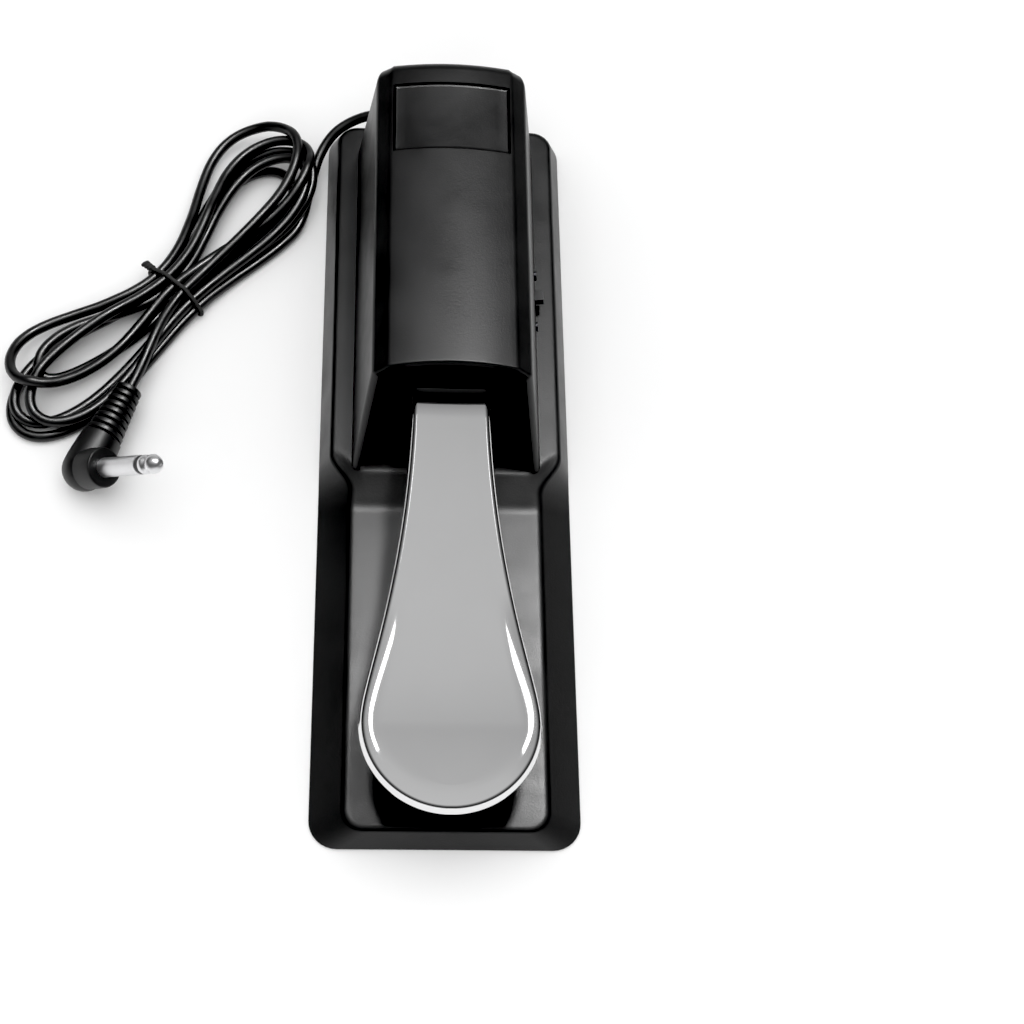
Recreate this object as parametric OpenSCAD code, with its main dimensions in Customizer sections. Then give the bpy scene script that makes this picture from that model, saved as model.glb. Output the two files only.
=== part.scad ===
// Sustain pedal: a weighted base, a housing with a sprung chromed lever, a
// microswitch, a polarity switch, and a coiled cable that ends in a
// right-angle 6.35 mm plug. +X is right, +Y is the rear and +Z is up. The
// origin is the middle of the footprint, on the floor. All in millimetres.

/* [Base] */
// Width of the base on the floor
base_w = 84; // [82:1:88]
// Length of the base on the floor
base_l = 268; // [264:1:270]
// Height of the low front plateau
plateau_z = 10; // [9.5:0.5:10.5]
// Width of the plateau top
plateau_w = 62; // [60:1:64]
// Height of the ledge round the housing
ledge_z = 14; // [13.5:0.5:14.5]
// Width of the ledge
ledge_w = 76; // [74:1:78]

/* [Housing] */
// Width of the housing where it meets the ledge
foot_w = 62; // [62:1:64]
// Width of the housing at the shoulder under the top
shoulder_w = 50; // [49:1:52]
// Width of the crowned top face
top_w = 40.5; // [38:0.5:42]
// Height of the crowned top at its middle
housing_top_z = 63; // [62:0.5:65]
// Wall thickness of the moulded shells
wall = 2.5; // [2:0.25:2.5]

/* [Pedal] */
// Radius of the round playing end
pedal_r = 27.1; // [25:0.1:28]
// Width of the neck at the slot
neck_w = 25; // [22:0.5:25]
// Thickness of the steel lever
pedal_t = 3; // [2.5:0.25:3]
// Angle that the lever turns when pressed fully
travel_deg = 6.5; // [5:0.5:6.5]

/* [Cable and plug] */
// Diameter of the cable
cable_d = 3.6; // [3.4:0.1:3.6]
// Number of turns in the tied bundle
cable_turns = 5; // [3:2:5]
// Diameter of the plug
plug_d = 6.35; // [6.35:0.01:6.36]
// Angle of the plug above the floor
plug_lift = 42; // [30:1:50]

/* [Hidden] */
$fn = 48;
gap = 0.1;       // clearance between moulded parts
slack = 0.05;    // radial clearance of a running fit
skin = 0.01;     // thickness of the slabs that hull() joins

// Base: floor outline, ramp and ledge
front_y = -base_l / 2;
rear_y = base_l / 2;
base_foot_z = 0.6;
base_corner = 9;
front_run = 3.5;             // how far the front skirt leans in
ledge_rear_y = rear_y - 6.5;
ramp_top_y = -12;
ramp_foot_y = -23;

// Bottom plate and sole
sole_t = 2.2;
plate_t = 2;
plate_w = 69;
plate_top_z = sole_t + plate_t;
plate_margin = 5;

// Housing: the front and rear faces lean inwards
shoulder_z = housing_top_z - 6;
top_edge_z = housing_top_z - 2.5;
foot_front_y = -11.3;
foot_rear_y = 123;
top_front_y = 0;
top_rear_y = 118;
housing_corner = 5;
recess_w = 38;
recess_y = [82.5, 109];
recess_depth = 0.5;
panel_depth = 2.5;           // how far the panel sits behind the rim
panel_t = 2.5;
front_lean = (top_front_y - foot_front_y) / (shoulder_z - ledge_z);
wall_lean = atan((foot_w - shoulder_w) / 2 / (shoulder_z - ledge_z));

// Lever and pivot
pivot_y = 58;
lever_z = 48.7;              // top face of the lever inside the housing
under_z = lever_z - pedal_t;
tail_y = 84;
fold_y = -7;                 // where the lever starts to slope down
pad_y = -106;                // centre of the round playing end
pad_z = 40;
flat_from_y = -90;           // the playing end is level in front of this
shaft_r = 4;
sleeve_r = 6;
bush_r = 5;
sleeve_l = 26;
bush_flange = 1.5;
sleeve_bite = 0.4;           // depth of the sleeve's seat in the lever
pivot_z = under_z - sleeve_r + sleeve_bite;
ear_x = sleeve_l / 2 + bush_flange + 0.5;
ear_t = 2;
shaft_l = 2 * ear_x + 2 * ear_t + 6;
clip_t = 1;
clip_x = ear_x + ear_t + 0.6;
groove_r = 3.2;

// Slot in the front panel
slot_w = neck_w + 2;
slot_drop = 12.6;
slot_top_z = lever_z + 0.8;

// Spring and bumpers
spring_y = 24;
spring_r = 5.2;
spring_wire_r = 0.8;
spring_turns = 7;
cup_floor_z = ledge_z + 1.5;
travel_bumper_y = 8;
rest_bumper_y = 78.5;
bumper_r = 5;
rest_post_z = 38;

// Microswitch, beside the spring
switch_x = 9.8;
switch_w = 6.4;
switch_l = 20;
switch_h = 10;
switch_rear_y = 48;
switch_top_z = 38.5;
switch_hinge_y = 46;
switch_hinge_z = 39.4;
switch_arm_l = 20;
switch_arm_deg = 17;
plunger_y = 41;
plunger_r = 1.2;
plunger_top_z = 40.3;
switch_screw_y = [33.2, 42.8];
switch_screw_z = 31;
switch_screw_r = 1.1;

// Polarity switch, low on the right wall; u runs up the wall
polarity_y = 51.6;
polarity_u = 6;
polarity_pitch = 20.4;
knob_rest = 1.5;             // the knob rests this far behind the middle
knob_l = 4;
knob_h = 3;
knob_out = 3;
polarity_window_l = 7.6;

// Screws
self_tap_r = 1.25;
plate_screw_xy = [for (x = [-22, 22], y = [-112, -40, 34, 119]) [x, y]];
housing_screw_xy = [for (x = [-23.5, 23.5], y = [5, 110]) [x, y]];
bracket_screw_xy = [for (x = [-9, 9], y = [pivot_y - 10, pivot_y + 10]) [x, y]];

// Cable outlet at the rear, left of the middle
outlet = [-20, 122, 20];
cable_r = cable_d / 2;
clamp_y = 98;
clamp_base_z = outlet[2] - cable_r - 1.2;
clamp_half_w = 7;
clamp_screw_dx = 4.6;

// Tied bundle: s runs along it and n across it, from the tie
tie_xy = [-base_w / 2 - 51.4, 62.2];
bundle_deg = 50.3;
bundle_a = 77.5;               // half length of the outer turn
bundle_shift = 6;            // the rear lobe is longer by twice this
bundle_h = 9.75;             // half width at the tie, at turn 0
bundle_bulge = 13.5;         // extra half width of the lobes
bundle_bow = 10;             // sideways bow of the lobes
strand_pitch = 3.9;
bulge_step = 1.5;
length_step = 5.5;
end_flat = 0.06;             // flattens the lobe ends so that they look round
tie_t = 1;
layer_z = [tie_t + 0.15 + cable_r, tie_t + 0.15 + cable_r + strand_pitch];
start_deg = 55;

// Plug: the moulded body lies on the floor and the plug points up and right
plug_at = [-118, -10, 8.3];
plug_turn = -22;
plug_r = plug_d / 2;
plug_body_r = 8;
plug_neck_l = 9;
boot_l = 24;
boot_ribs = 9;
plug_root = 9.5;             // distance from the body's axis to the bare metal
plug_sleeve_l = 21;
plug_insulator_l = 1.6;
plug_stem_r = 2.2;
plug_ring_r = plug_r - 0.25; // the insulator and the tip are a little thinner

// ---- helpers ----

// A level slab with rounded corners, from y0 to y1
module slab(w, y0, y1, r, z, t = skin) {
    translate([0, (y0 + y1) / 2, z])
        linear_extrude(t)
            offset(r, $fn = 32) square([w - 2 * r, y1 - y0 - 2 * r], center = true);
}

module box(x, y, z) {
    translate([x[0], y[0], z[0]]) cube([x[1] - x[0], y[1] - y[0], z[1] - z[0]]);
}

module along_x(r, l) {
    rotate([0, 90, 0]) cylinder(r = r, h = l, center = true);
}

module along_y(r, l) {
    rotate([-90, 0, 0]) cylinder(r = r, h = l);
}

// Cross-recessed pan-head screw: the head stands on z = 0, the shank hangs below
module screw(shank_r, shank_l, head_r, head_h) {
    difference() {
        cylinder(r = head_r, h = head_h);
        for (turn = [0, 90])
            rotate(turn) translate([0, 0, head_h])
                cube([head_r * 1.1, head_r * 0.25, head_h], center = true);
    }
    translate([0, 0, -shank_l]) cylinder(r = shank_r, h = shank_l);
}

function mix(a, b, t) = a + (b - a) * t;
function smooth(t) = let (c = min(max(t, 0), 1)) c * c * (3 - 2 * c);
function bezier(p, t) =
    len(p) == 1 ? p[0]
    : bezier([for (i = [0:len(p) - 2]) mix(p[i], p[i + 1], t)], t);
function unit(v) = v / norm(v);

// A round tube of radius r along a path that never runs straight up
module tube_along(path, r, sides = 8) {
    last = len(path) - 1;
    rings = [for (i = [0:last])
        let (ahead = unit(path[min(i + 1, last)] - path[max(i - 1, 0)]),
             side = unit(cross(ahead, [0, 0, 1])),
             up = cross(side, ahead))
        for (k = [0:sides - 1])
            path[i] + r * (cos(360 * k / sides) * side + sin(360 * k / sides) * up)];
    skin_faces = [for (i = [0:last - 1], k = [0:sides - 1])
        let (a = i * sides + k, b = i * sides + (k + 1) % sides)
        each [[a, b, b + sides], [a, b + sides, a + sides]]];
    first_cap = [for (k = [sides - 1:-1:0]) k];
    last_cap = [for (k = [0:sides - 1]) last * sides + k];
    polyhedron(rings, concat(skin_faces, [first_cap], [last_cap]));
}

// ---- base, plate and sole ----

// Outer form of the base: a low front and a higher rear round the housing
module base_form() {
    hull() {
        slab(base_w, front_y, rear_y, base_corner, base_foot_z, 1);
        slab(plateau_w, front_y + front_run, ledge_rear_y, 5, plateau_z - skin);
    }
    hull() {
        slab(base_w - 1, ramp_foot_y - 20, rear_y - 1, base_corner, base_foot_z + 0.5, 1);
        slab(plateau_w - 1, ramp_foot_y, ledge_rear_y, 2, plateau_z - 0.2);
        slab(ledge_w, ramp_top_y, ledge_rear_y, 8, ledge_z - skin);
    }
}

module plate_outline(inset, z, t) {
    slab(plate_w - 2 * inset, front_y + plate_margin + inset,
         rear_y - plate_margin - inset, 6, z, t);
}

// A hollow post that hangs from the deck; the deck is lower in front of the ramp
module base_post(at, low_z, hole_l) {
    deck_z = (at[1] < ramp_top_y ? plateau_z : ledge_z) - wall;
    translate([at[0], at[1], low_z])
        difference() {
            cylinder(r = 3.5, h = deck_z - low_z + skin);
            translate([0, 0, -1]) cylinder(r = self_tap_r, h = hole_l + 1);
        }
}

module base() color([0.09, 0.09, 0.095]) {
    front_room = plateau_w / 2 - wall - 1;
    rear_room = ledge_w / 2 - wall - 3;
    difference() {
        base_form();
        plate_outline(-gap, 0, plate_top_z);
        box([-front_room, front_room], [front_y + 8, ledge_rear_y - 4],
            [plate_top_z - 1, plateau_z - wall]);
        box([-rear_room, rear_room], [ramp_top_y + 5, ledge_rear_y - 4],
            [plate_top_z - 1, ledge_z - wall]);
        for (at = housing_screw_xy)
            translate([at[0], at[1], plate_top_z]) cylinder(r = 1.6, h = 12);
        for (at = bracket_screw_xy)
            translate([at[0], at[1], plate_top_z + 1]) cylinder(r = self_tap_r, h = 12);
    }
    // Posts that the plate screws and the pivot bracket's screws bite into
    for (at = plate_screw_xy) base_post(at, plate_top_z, 6.5);
    for (at = bracket_screw_xy) base_post(at, plate_top_z + 1, 12);
    // Post that carries the rest bumper
    translate([0, rest_bumper_y, ledge_z - skin])
        cylinder(r = bumper_r + 1, h = rest_post_z - ledge_z + skin);
    // Block that the cable is clamped on
    difference() {
        box([outlet[0] - clamp_half_w, outlet[0] + clamp_half_w], [clamp_y - 4, clamp_y + 4],
            [ledge_z - skin, clamp_base_z]);
        clamp_holes(self_tap_r);
    }
}

module bottom_plate() color([0.55, 0.56, 0.58])
    difference() {
        plate_outline(0, sole_t, plate_t);
        for (at = plate_screw_xy)
            translate([at[0], at[1], 0]) cylinder(r = 1.7, h = 10);
    }

module rubber_sole() color([0.06, 0.06, 0.06])
    difference() {
        plate_outline(0, 0, sole_t);
        for (at = plate_screw_xy)
            translate([at[0], at[1], -1]) cylinder(r = 3.4, h = 10);
    }

module plate_screws() color([0.6, 0.6, 0.62])
    for (at = plate_screw_xy)
        translate([at[0], at[1], sole_t]) mirror([0, 0, 1]) screw(self_tap_r, 4.6, 2.9, 1.6);

// ---- housing ----

// The housing's form; inset moves every side inwards by that much
module housing_form(inset, low_z) {
    lean = (shoulder_z - low_z) / (shoulder_z - ledge_z);
    foot = mix(shoulder_w, foot_w, lean) - 2 * inset;
    front = mix(top_front_y, foot_front_y, lean) + inset;
    rear = mix(top_rear_y + 1, foot_rear_y, lean) - inset;
    crown_rise = housing_top_z - top_edge_z;
    crown_r = (pow(top_w / 2, 2) + pow(crown_rise, 2)) / (2 * crown_rise);
    hull() {
        slab(foot, front, rear, housing_corner, low_z);
        slab(shoulder_w - 2 * inset, top_front_y + inset, top_rear_y + 1 - inset,
             housing_corner, shoulder_z - inset / 2);
        translate([0, top_rear_y - inset, -inset]) rotate([90, 0, 0])
            linear_extrude(top_rear_y - top_front_y - 2 * inset - 1)
                intersection() {
                    translate([0, housing_top_z - crown_r]) circle(crown_r, $fn = 256);
                    translate([-top_w / 2 + inset, top_edge_z])
                        square([top_w - 2 * inset, 10]);
                }
    }
}

// A slab that leans with the front face, starting at depth behind it
module front_slice(depth, t) {
    lean_deg = atan(front_lean);
    translate([0, foot_front_y + depth, ledge_z]) rotate([-lean_deg, 0, 0])
        translate([-50, 0, -10]) cube([100, t, 70]);
}

module housing() color([0.12, 0.12, 0.125]) {
    post_h = 13;
    difference() {
        housing_form(0, ledge_z);
        difference() {
            housing_form(wall, ledge_z - 1);
            for (at = housing_screw_xy)
                translate([at[0], at[1], ledge_z - 2]) cylinder(r = 3.5, h = post_h + 2);
        }
        // Open front, closed by the panel
        intersection() {
            housing_form(wall, ledge_z - 1);
            front_slice(0, panel_depth + panel_t);
        }
        translate([0, -2 * wall, 0])
            intersection() {
                housing_form(wall, ledge_z - 1);
                front_slice(0, 3 * wall);
            }
        // Shallow blank label recess at the rear of the top
        difference() {
            box([-recess_w / 2, recess_w / 2], recess_y,
                [housing_top_z - 5, housing_top_z + 5]);
            housing_form(recess_depth, ledge_z);
        }
        for (at = housing_screw_xy)
            translate([at[0], at[1], ledge_z - 2]) cylinder(r = self_tap_r, h = post_h);
        translate([outlet[0], outlet[1] - 15, outlet[2]]) along_y(4, 30);
        on_right_wall() {
            box([-6, 3], [-polarity_window_l / 2, polarity_window_l / 2],
                [polarity_u - 2, polarity_u + 2]);
            for (side = [-1, 1])
                translate([-6, side * polarity_pitch / 2, polarity_u])
                    rotate([0, 90, 0]) cylinder(r = 1, h = 8);
        }
    }
}

module front_panel() color([0.05, 0.05, 0.05])
    difference() {
        intersection() {
            housing_form(wall + gap, ledge_z + gap);
            front_slice(panel_depth, panel_t);
        }
        translate([0, 20, slot_top_z - slot_drop]) rotate([90, 0, 0])
            linear_extrude(50)
                translate([-slot_w / 2, 0]) square([slot_w, slot_drop]);
    }

module housing_screws() color([0.6, 0.6, 0.62])
    for (at = housing_screw_xy)
        translate([at[0], at[1], ledge_z - wall]) mirror([0, 0, 1])
            screw(self_tap_r, 12, 3, 1.8);

// ---- lever and pivot ----

// Plan outline: a narrow neck that widens into the round playing end
function neck_side(side) = [for (i = [0:10])
    let (p = bezier([[neck_w / 2, top_front_y - 3], [neck_w / 2 + 1.1, -62],
                     [pedal_r, pad_y + 13], [pedal_r, pad_y]], i / 10))
    [side * p[0], p[1]]];

module pedal_outline() {
    left = neck_side(-1);
    polygon(concat([[-neck_w / 2, tail_y], [neck_w / 2, tail_y]],
                   neck_side(1),
                   [for (a = [-5:-5:-175]) [pedal_r * cos(a), pad_y + pedal_r * sin(a)]],
                   [for (i = [10:-1:0]) left[i]]));
}

// Side view: level inside, a fold outside the slot, a slope, a level end
module pedal_side() {
    top = [[tail_y, lever_z], [fold_y, lever_z], [flat_from_y, pad_z],
           [pad_y - pedal_r - 1, pad_z]];
    under = [for (i = [3:-1:0]) top[i] - [0, pedal_t]];
    polygon(concat(top, under));
}

module pedal() color([0.82, 0.82, 0.83])
    difference() {
        intersection() {
            rotate([90, 0, 90]) translate([0, 0, -40]) linear_extrude(80) pedal_side();
            translate([0, 0, 20]) linear_extrude(50) pedal_outline();
        }
        translate([0, pivot_y, pivot_z]) along_x(sleeve_r, 60);
    }

module pivot_sleeve() color([0.6, 0.6, 0.62])
    translate([0, pivot_y, pivot_z])
        difference() {
            along_x(sleeve_r, sleeve_l - 1);
            along_x(bush_r, sleeve_l + 4);
        }

module sleeve_bushes() color([0.9, 0.88, 0.8])
    for (side = [-1, 1])
        translate([side * sleeve_l / 2, pivot_y, pivot_z])
            difference() {
                union() {
                    translate([-side * 4.5, 0, 0]) along_x(bush_r, 8);
                    translate([side * bush_flange / 2 - side * 0.5, 0, 0])
                        along_x(sleeve_r, bush_flange);
                }
                along_x(shaft_r + slack, 40);
            }

module pivot_shaft() color([0.7, 0.7, 0.72])
    translate([0, pivot_y, pivot_z])
        difference() {
            along_x(shaft_r, shaft_l);
            for (side = [-1, 1])
                translate([side * (clip_x + clip_t / 2), 0, 0])
                    difference() {
                        along_x(shaft_r + 1, clip_t + 0.1);
                        along_x(groove_r, clip_t + 1);
                    }
        }

module shaft_clips() color([0.35, 0.35, 0.36])
    for (side = [-1, 1])
        translate([side * (clip_x + clip_t / 2), pivot_y, pivot_z])
            difference() {
                along_x(6, clip_t - 0.1);
                along_x(groove_r + 0.02, clip_t + 1);
                translate([0, 0, -4]) cube([clip_t + 1, 3.2, 8], center = true);
            }

module pivot_bracket() color([0.62, 0.62, 0.64])
    difference() {
        union() {
            box([-18, 18], [pivot_y - 13, pivot_y + 13], [ledge_z, ledge_z + ear_t]);
            for (side = [-1, 1])
                translate([side * (ear_x + ear_t / 2), pivot_y, 0]) {
                    translate([0, 0, (ledge_z + pivot_z) / 2])
                        cube([ear_t, 20, pivot_z - ledge_z], center = true);
                    translate([0, 0, pivot_z]) along_x(10, ear_t);
                }
        }
        translate([0, pivot_y, pivot_z]) along_x(shaft_r + 0.02, 60);
        for (at = bracket_screw_xy)
            translate([at[0], at[1], ledge_z - 1]) cylinder(r = 1.6, h = 5);
    }

module bracket_screws() color([0.6, 0.6, 0.62])
    for (at = bracket_screw_xy)
        translate([at[0], at[1], ledge_z + ear_t]) screw(self_tap_r, 9, 2.4, 1.8);

// ---- spring and bumpers ----

module return_spring() color([0.68, 0.69, 0.7]) {
    low = cup_floor_z + spring_wire_r + 0.1;
    high = under_z - spring_wire_r - 0.1;
    steps = 18;
    path = [for (i = [0:spring_turns * steps])
        let (t = i / (spring_turns * steps), turn = 360 * i / steps)
        [spring_r * cos(turn), spring_y + spring_r * sin(turn), mix(low, high, t)]];
    tube_along(path, spring_wire_r, 6);
}

module spring_cup() color([0.85, 0.85, 0.82])
    translate([0, spring_y, ledge_z])
        difference() {
            cylinder(r = spring_r + 2.2, h = 4);
            translate([0, 0, cup_floor_z - ledge_z])
                cylinder(r = spring_r + spring_wire_r + 0.2, h = 4);
        }

// Height of the lever's underside at full travel, above a point at y
function pressed_under_z(y) =
    pivot_z + (y - pivot_y) * tan(travel_deg) + (under_z - pivot_z) / cos(travel_deg);

module travel_bumper() color([0.08, 0.08, 0.08])
    translate([0, travel_bumper_y, ledge_z])
        cylinder(r = bumper_r,
                 h = pressed_under_z(travel_bumper_y - bumper_r) - ledge_z - slack);

module rest_bumper() color([0.08, 0.08, 0.08])
    translate([0, rest_bumper_y, rest_post_z])
        cylinder(r = bumper_r, h = under_z - rest_post_z - slack);

// ---- microswitch ----

module microswitch_body() color([0.13, 0.13, 0.14])
    difference() {
        box([switch_x - switch_w / 2, switch_x + switch_w / 2],
            [switch_rear_y - switch_l, switch_rear_y],
            [switch_top_z - switch_h, switch_top_z]);
        for (y = switch_screw_y)
            translate([switch_x, y, switch_screw_z]) along_x(switch_screw_r + slack, 20);
        translate([switch_x, plunger_y, switch_top_z - 4])
            cylinder(r = plunger_r + slack, h = 10);
    }

module microswitch_plunger() color([0.75, 0.12, 0.1])
    translate([switch_x, plunger_y, plunger_top_z - 4]) cylinder(r = plunger_r, h = 4);

module microswitch_lever() color([0.75, 0.75, 0.77])
    translate([switch_x, switch_hinge_y, switch_hinge_z]) {
        rotate([-switch_arm_deg, 0, 0])
            translate([-2, -switch_arm_l, -0.2]) cube([4, switch_arm_l, 0.4]);
        along_x(0.5, 4.6);
    }

module microswitch_terminals() color([0.8, 0.72, 0.45])
    for (y = [switch_rear_y - 17, switch_rear_y - 10, switch_rear_y - 3])
        box([switch_x - 2, switch_x + 2], [y - 0.25, y + 0.25],
            [switch_top_z - switch_h - 6, switch_top_z - switch_h]);

module microswitch_bracket() color([0.62, 0.62, 0.64])
    difference() {
        union() {
            box([switch_x + switch_w / 2, switch_x + switch_w / 2 + 1.5],
                [switch_rear_y - switch_l, switch_rear_y - 4.5],
                [ledge_z, switch_top_z - 2]);
            box([switch_x + switch_w / 2, switch_x + switch_w / 2 + 9],
                [switch_rear_y - switch_l, switch_rear_y - 4.5], [ledge_z, ledge_z + 1.5]);
        }
        for (y = switch_screw_y)
            translate([switch_x + 5, y, switch_screw_z]) along_x(switch_screw_r, 12);
    }

module microswitch_screws() color([0.6, 0.6, 0.62])
    for (y = switch_screw_y)
        translate([switch_x - switch_w / 2, y, switch_screw_z]) rotate([0, -90, 0])
            screw(switch_screw_r, switch_w + 3, 1.7, 1.2);

// ---- polarity switch ----

// Places children on the right wall: x points out, y to the rear, z up the wall
module on_right_wall() {
    translate([foot_w / 2, polarity_y, ledge_z]) rotate([0, -wall_lean, 0]) children();
}

module polarity_body() color([0.2, 0.2, 0.21])
    on_right_wall()
        difference() {
            box([-9, -wall - 0.9], [-6, 6], [polarity_u - 3.2, polarity_u + 3.2]);
            box([-6, 0], [-polarity_window_l / 2 + 0.2, polarity_window_l / 2 - 0.2],
                [polarity_u - 1.8, polarity_u + 1.8]);
        }

module polarity_frame() color([0.7, 0.7, 0.72])
    on_right_wall()
        difference() {
            box([-wall - 0.85, -wall - 0.05], [-13, 13], [polarity_u - 3.2, polarity_u + 3.2]);
            box([-6, 0], [-polarity_window_l / 2, polarity_window_l / 2],
                [polarity_u - 2, polarity_u + 2]);
            for (side = [-1, 1])
                translate([-6, side * polarity_pitch / 2, polarity_u])
                    rotate([0, 90, 0]) cylinder(r = 0.9, h = 8);
        }

module polarity_knob() color([0.07, 0.07, 0.07])
    on_right_wall()
        box([-5.8, knob_out], [knob_rest - knob_l / 2, knob_rest + knob_l / 2],
            [polarity_u - knob_h / 2, polarity_u + knob_h / 2]);

module polarity_screws() color([0.3, 0.3, 0.31])
    on_right_wall()
        for (side = [-1, 1])
            translate([slack, side * polarity_pitch / 2, polarity_u])
                rotate([0, 90, 0]) screw(0.9, 4, 1.7, 0.8);

module polarity_terminals() color([0.8, 0.72, 0.45])
    on_right_wall()
        for (y = [-4, 0, 4])
            box([-11, -9], [y - 0.25, y + 0.25], [polarity_u - 1, polarity_u + 1]);

// Four leads: two run round behind the pivot bracket from the cable's end to the
// polarity switch, and two on to the microswitch between both brackets
module lead_wires() color([0.6, 0.15, 0.12]) {
    wire_r = 0.55;
    cable_end = [outlet[0], clamp_y - 6, outlet[2]];
    polarity_end = [foot_w / 2 - 12.7, polarity_y, ledge_z + 5];
    micro_end = [switch_x, switch_rear_y - 3, switch_top_z - switch_h - 6.8];
    low_z = ledge_z + 3;
    for (k = [-1, 1]) {
        from_cable = [cable_end + [k, 0, 0], cable_end + [k, -8, 0],
                      [0, cable_end[1] + 2 * k, low_z + k],
                      [foot_w / 2 - 9, cable_end[1] + 4 + 2 * k, low_z + 1 + k],
                      polarity_end + [0, 26, k], polarity_end + [0, 2 + 2 * k, k]];
        tube_along([for (i = [0:14]) bezier(from_cable, i / 14)], wire_r, 6);
        to_micro = [polarity_end + [0, -4 + 2 * k, k],
                    [polarity_end[0], switch_rear_y - 6 - k, polarity_end[2] + k],
                    [switch_x + 4, switch_rear_y + 1, low_z + 3],
                    micro_end + [0, k, -3],
                    micro_end + [0, 3.5 * (k - 1), 0]];
        tube_along([for (i = [0:12]) bezier(to_micro, i / 12)], wire_r, 6);
    }
}

// ---- cable ----

module cable_grommet() color([0.05, 0.05, 0.05])
    translate(outlet)
        difference() {
            union() {
                translate([0, 1.2, 0]) along_y(5.5, 1.8);
                translate([0, -5.5, 0]) along_y(3.95, 8.5);
                translate([0, -5.5, 0]) along_y(5, 1.5);
            }
            translate([0, -10, 0]) along_y(cable_r + slack, 30);
        }

module clamp_holes(r) {
    for (side = [-1, 1])
        translate([outlet[0] + side * clamp_screw_dx, clamp_y, ledge_z + 0.5])
            cylinder(r = r, h = 30);
}

module cable_clamp() color([0.15, 0.15, 0.15])
    difference() {
        box([outlet[0] - clamp_half_w, outlet[0] + clamp_half_w], [clamp_y - 3, clamp_y + 3],
            [clamp_base_z, outlet[2] + cable_r + 2]);
        translate([outlet[0], clamp_y - 5, outlet[2]]) along_y(cable_r + slack, 10);
        clamp_holes(1.4);
    }

module clamp_screws() color([0.6, 0.6, 0.62])
    for (side = [-1, 1])
        translate([outlet[0] + side * clamp_screw_dx, clamp_y, outlet[2] + cable_r + 2])
            screw(self_tap_r, 7, 1.9, 1.4);

// Level position in the bundle for s along it and n across it
function in_bundle(s, n) = tie_xy + [
    s * cos(bundle_deg) - n * sin(bundle_deg),
    s * sin(bundle_deg) + n * cos(bundle_deg)];

// A point of the bundle: the strand spirals inwards in the lower layer,
// changes layer at the middle turn and spirals outwards in the upper one
function strand(deg) = let (
    turn = deg / 360,
    depth = turn < cable_turns / 2 ? turn : cable_turns - turn,
    lobe = 1 - pow(sin(deg), 6),
    c = (1 + end_flat) * cos(deg) - end_flat * cos(3 * deg),
    half_l = bundle_a - length_step * depth,
    half_w = bundle_h - strand_pitch * depth + (bundle_bulge - bulge_step * depth) * lobe,
    climb = smooth((deg - 180 * cable_turns + 40) / 80),
    at = in_bundle(half_l * c + bundle_shift * c * c,
                   bundle_bow * lobe - half_w * sin(deg)))
    [at[0], at[1], mix(layer_z[0], layer_z[1], climb)];

boot_dir = [-sin(plug_turn), cos(plug_turn), 0];
boot_end = plug_at + (plug_neck_l + boot_l) * boot_dir;
last_deg = 360 * cable_turns + 84;

function cable_path() =
    let (joined = strand(start_deg),
         heading = unit(strand(start_deg + 1) - strand(start_deg)),
         left = strand(last_deg),
         leaving = unit(left - strand(last_deg - 1)),
         over_edge = [outlet + [0, 3.2, 0], outlet + [0, 10.8, -0.2], outlet + [-11, 10, -5.5],
                      [-base_w / 2 + 0.5, rear_y - 5, outlet[2] - 5],
                      [-base_w / 2 - 8, rear_y - 5, layer_z[0]],
                      joined - 12 * heading, joined])
    concat(
        [outlet - [0, 28, 0], outlet - [0, 14, 0], outlet, outlet + [0, 3.2, 0]],
        [for (i = [1:11]) bezier(over_edge, i / 12)],
        [for (deg = [start_deg:8:last_deg]) strand(deg)],
        [for (i = [1:8]) bezier([left, left + 15 * leaving, boot_end + 14 * boot_dir,
                                 boot_end], i / 8)],
        [boot_end - 8 * boot_dir, boot_end - 16 * boot_dir, boot_end - 24 * boot_dir]);

module cable() color([0.04, 0.04, 0.04]) tube_along(cable_path(), cable_r, 8);

// Twist tie: a flat band round the bundle with its twisted end on the left
module cable_tie() color([0.05, 0.05, 0.05]) {
    n_low = -13.2;
    n_high = 11.2;
    low_z = tie_t + 0.05;
    high_z = layer_z[1] + cable_r + 0.15;
    translate([tie_xy[0], tie_xy[1], 0]) rotate(bundle_deg) {
        difference() {
            box([-1.5, 1.5], [n_low - tie_t, n_high + tie_t],
                [low_z - tie_t + skin, high_z + tie_t]);
            box([-3, 3], [n_low, n_high], [low_z, high_z]);
        }
        translate([0, n_high + tie_t - skin, high_z - 1.5]) along_y(1.1, 7);
    }
}

// ---- plug ----

// Places children at the plug: x along the bare metal, y towards the cable
module at_plug() {
    translate(plug_at) rotate([0, 0, plug_turn]) rotate([0, -plug_lift, 0]) children();
}

// Half profile of the moulded body: rounded end, collar and a tapering ribbed boot
function boot_profile() = concat(
    [[0, -plug_body_r]],
    [for (a = [15:15:90]) [plug_body_r * sin(a), -plug_body_r * cos(a)]],
    [[plug_body_r, 5], [plug_body_r - 1.5, plug_neck_l]],
    [for (i = [0:boot_ribs - 1], edge = [0.15, 0.25, 0.75, 0.85])
        let (y = plug_neck_l + boot_l * (i + edge) / boot_ribs,
             crest = mix(6, 3.6, (i + 0.5) / boot_ribs))
        [edge == 0.25 || edge == 0.75 ? crest : crest - 1, y]],
    [[2.6, plug_neck_l + boot_l], [0, plug_neck_l + boot_l]]);

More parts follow.
